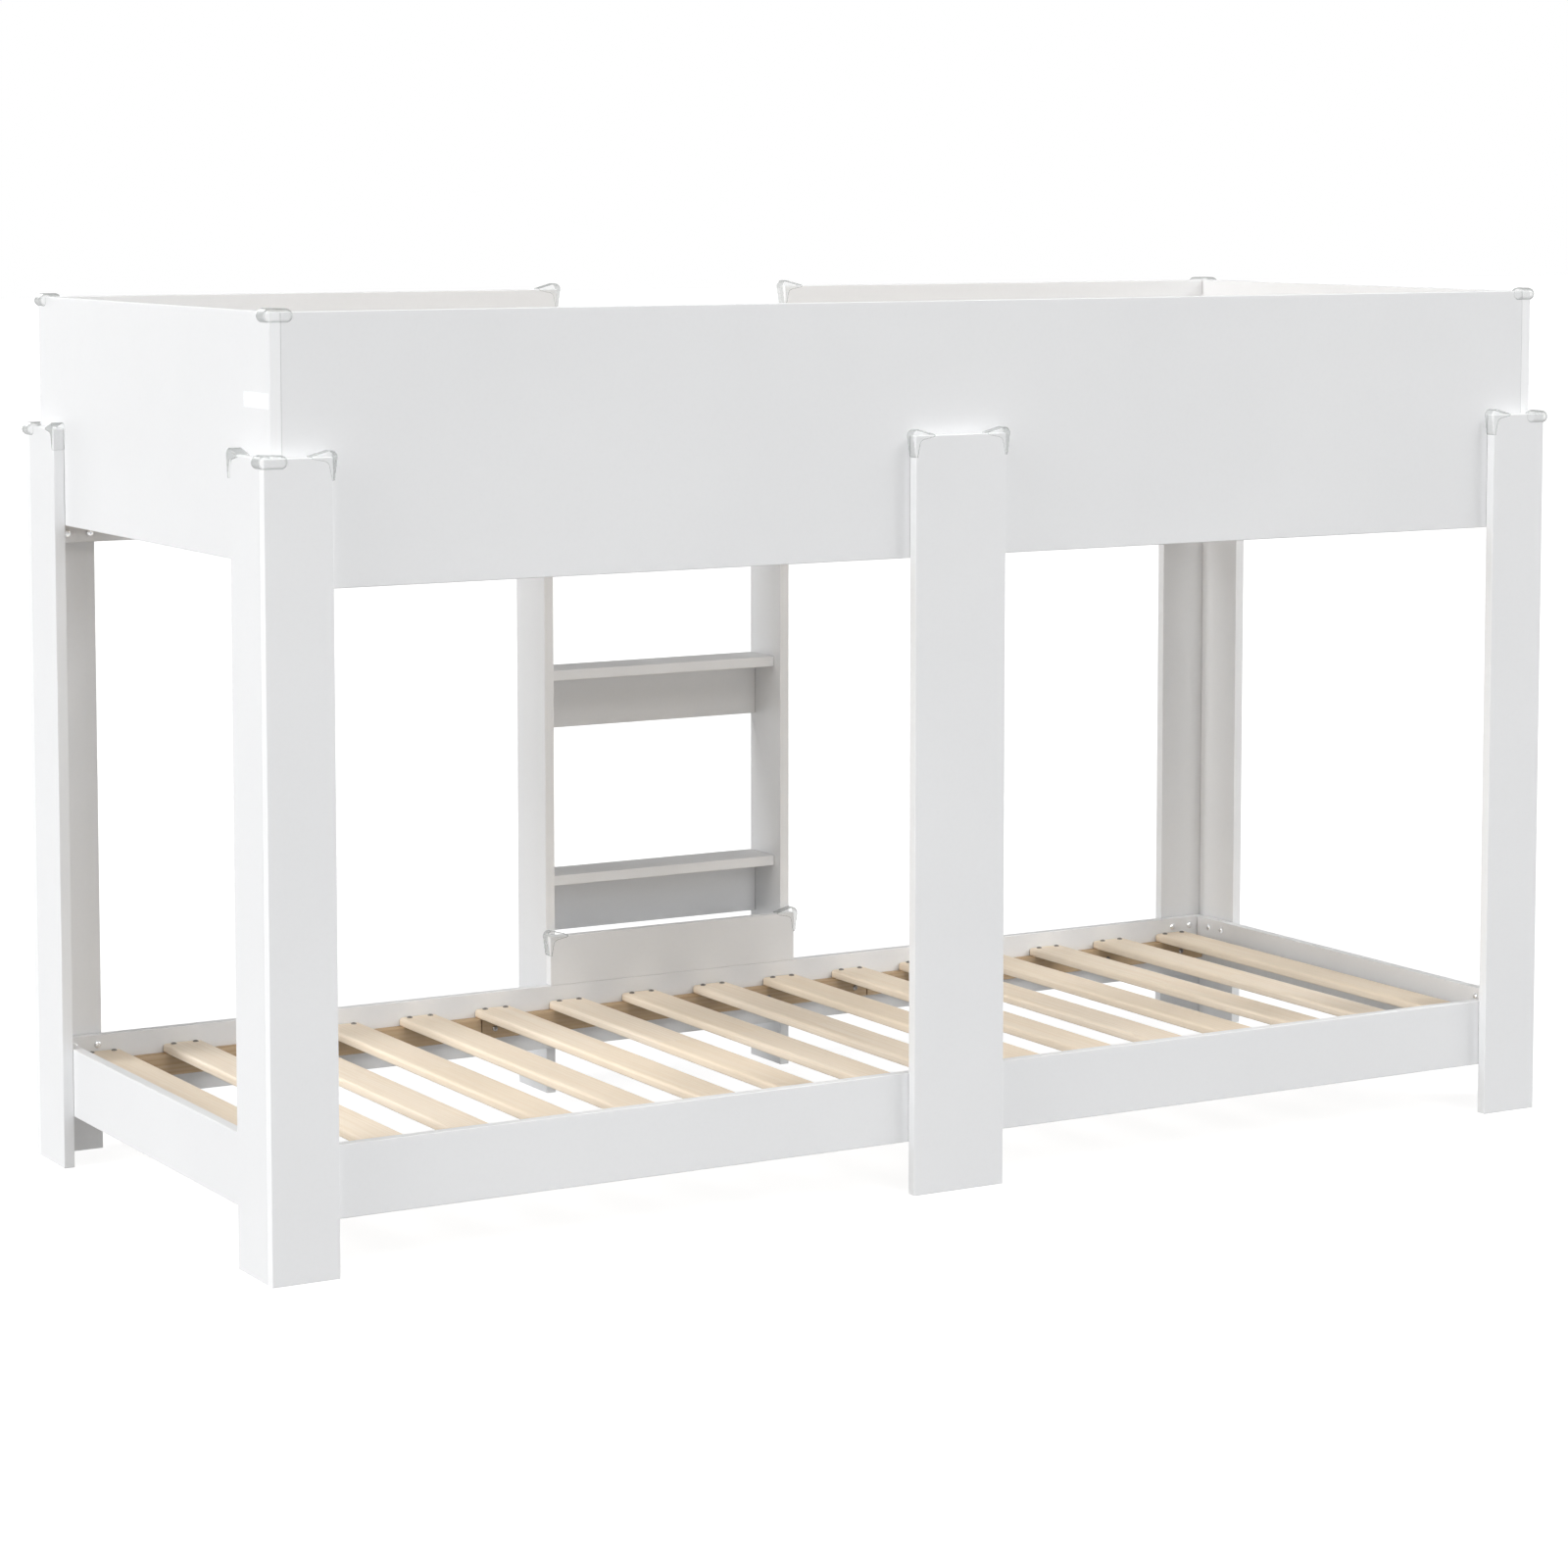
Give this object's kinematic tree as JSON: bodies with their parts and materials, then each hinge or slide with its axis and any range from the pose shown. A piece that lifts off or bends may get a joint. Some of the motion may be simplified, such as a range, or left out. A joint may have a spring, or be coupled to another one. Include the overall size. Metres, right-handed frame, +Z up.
{
  "type": "bunk bed with ladder",
  "caption": "Low child's bunk bed of flat white boards, with an enclosed upper bunk, a slatted lower bunk at rail height, and a fixed ladder up to a gap in the upper guard.",
  "frame": {"origin": "on the floor, at the centre of the whole bed's footprint, the ladder and corner guards included", "axes": "+X along the bed's length, +Y across it towards the ladder side, +Z up; the side with the middle leg and the long closed panel faces -Y"},
  "size_m": [1.977, 0.9, 1.185],
  "materials": {
    "white_board": "satin white coating on chipboard, with edge banding",
    "slat_wood": "planed pale softwood",
    "batten_wood": "sawn pale softwood",
    "clear_guard": "soft clear plastic",
    "label": "blank glossy sticker",
    "zinc_steel": "zinc-plated",
    "dowel_wood": "plain hardwood"
  },
  "bodies": {
    "root": {"upper_front_panel": "white_board", "upper_left_end_panel": "white_board", "upper_right_end_panel": "white_board", "upper_rear_rail": "white_board", "upper_left_guard": "white_board", "upper_right_guard": "white_board", "leg_near_left_front": "white_board", "leg_near_left_end": "white_board", "leg_near_right_front": "white_board", "leg_near_right_end": "white_board", "leg_far_left_rear": "white_board", "leg_far_left_end": "white_board", "leg_far_right_rear": "white_board", "leg_far_right_end": "white_board", "leg_middle": "white_board", "ladder_left_stile": "white_board", "ladder_right_stile": "white_board", "ladder_lower_tread": "white_board", "ladder_upper_tread": "white_board", "ladder_lower_riser": "white_board", "ladder_upper_riser": "white_board", "ladder_foot_board": "white_board", "lower_front_rail": "white_board", "lower_rear_rail": "white_board", "lower_left_rail": "white_board", "lower_right_rail": "white_board", "lower_near_battens": "batten_wood", "lower_far_battens": "batten_wood", "upper_near_battens": "batten_wood", "upper_far_battens": "batten_wood", "lower_slat_01": "slat_wood", "lower_slat_02": "slat_wood", "lower_slat_03": "slat_wood", "lower_slat_04": "slat_wood", "lower_slat_05": "slat_wood", "lower_slat_06": "slat_wood", "lower_slat_07": "slat_wood", "lower_slat_08": "slat_wood", "lower_slat_09": "slat_wood", "lower_slat_10": "slat_wood", "lower_slat_11": "slat_wood", "lower_slat_12": "slat_wood", "lower_slat_13": "slat_wood", "lower_slat_14": "slat_wood", "lower_slat_15": "slat_wood", "lower_slat_16": "slat_wood", "upper_slats": "slat_wood", "board_end_guards": "clear_guard", "corner_guards": "clear_guard", "blank_label": "label", "frame_screws": "zinc_steel", "batten_screws": "zinc_steel", "lower_slat_screws": "zinc_steel", "upper_slat_screws": "zinc_steel", "ladder_bolts": "zinc_steel", "dowels": "dowel_wood", "cam_discs": "zinc_steel", "cam_pins": "zinc_steel"}
  },
  "joints": []
}
